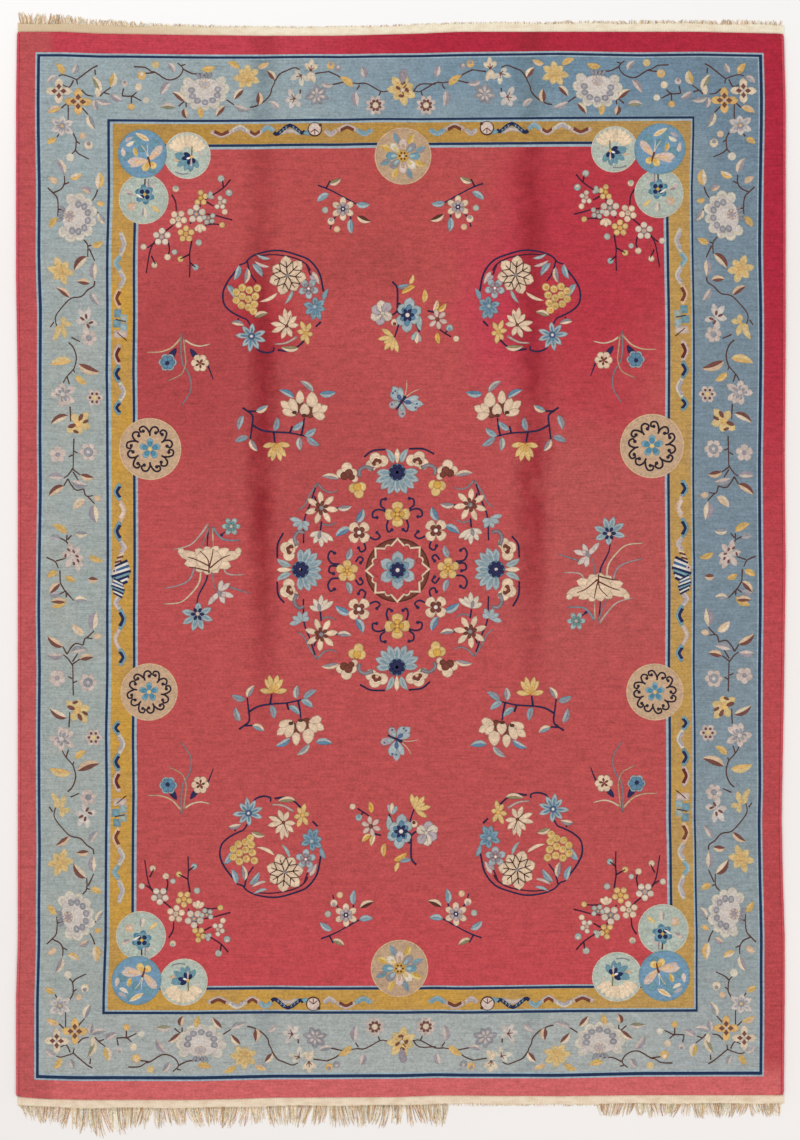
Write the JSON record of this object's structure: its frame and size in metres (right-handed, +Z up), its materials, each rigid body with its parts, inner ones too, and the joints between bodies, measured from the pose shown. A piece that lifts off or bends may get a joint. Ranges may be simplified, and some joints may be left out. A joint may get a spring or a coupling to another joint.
{
  "type": "rug",
  "caption": "Large flat rectangular hand-knotted wool pile rug with overcast long sides and a narrow woven cotton strip with short worn strands at each end, laid on a floor",
  "frame": {"origin": "on the flat underside, at the centre of the knotted sheet without its fringes", "axes": "+X to the right of the design, +Y along the length to the upper end of the design, +Z up out of the pile"},
  "size_m": [2.511, 3.6655, 0.011],
  "materials": {
    "wool_pile": "cut wool pile, matt with a soft sheen",
    "end_cotton": "undyed flat-woven cotton, matt"
  },
  "bodies": {
    "root": {"rug_body": "wool_pile", "fringe_upper": "end_cotton", "fringe_lower": "end_cotton"}
  },
  "joints": []
}
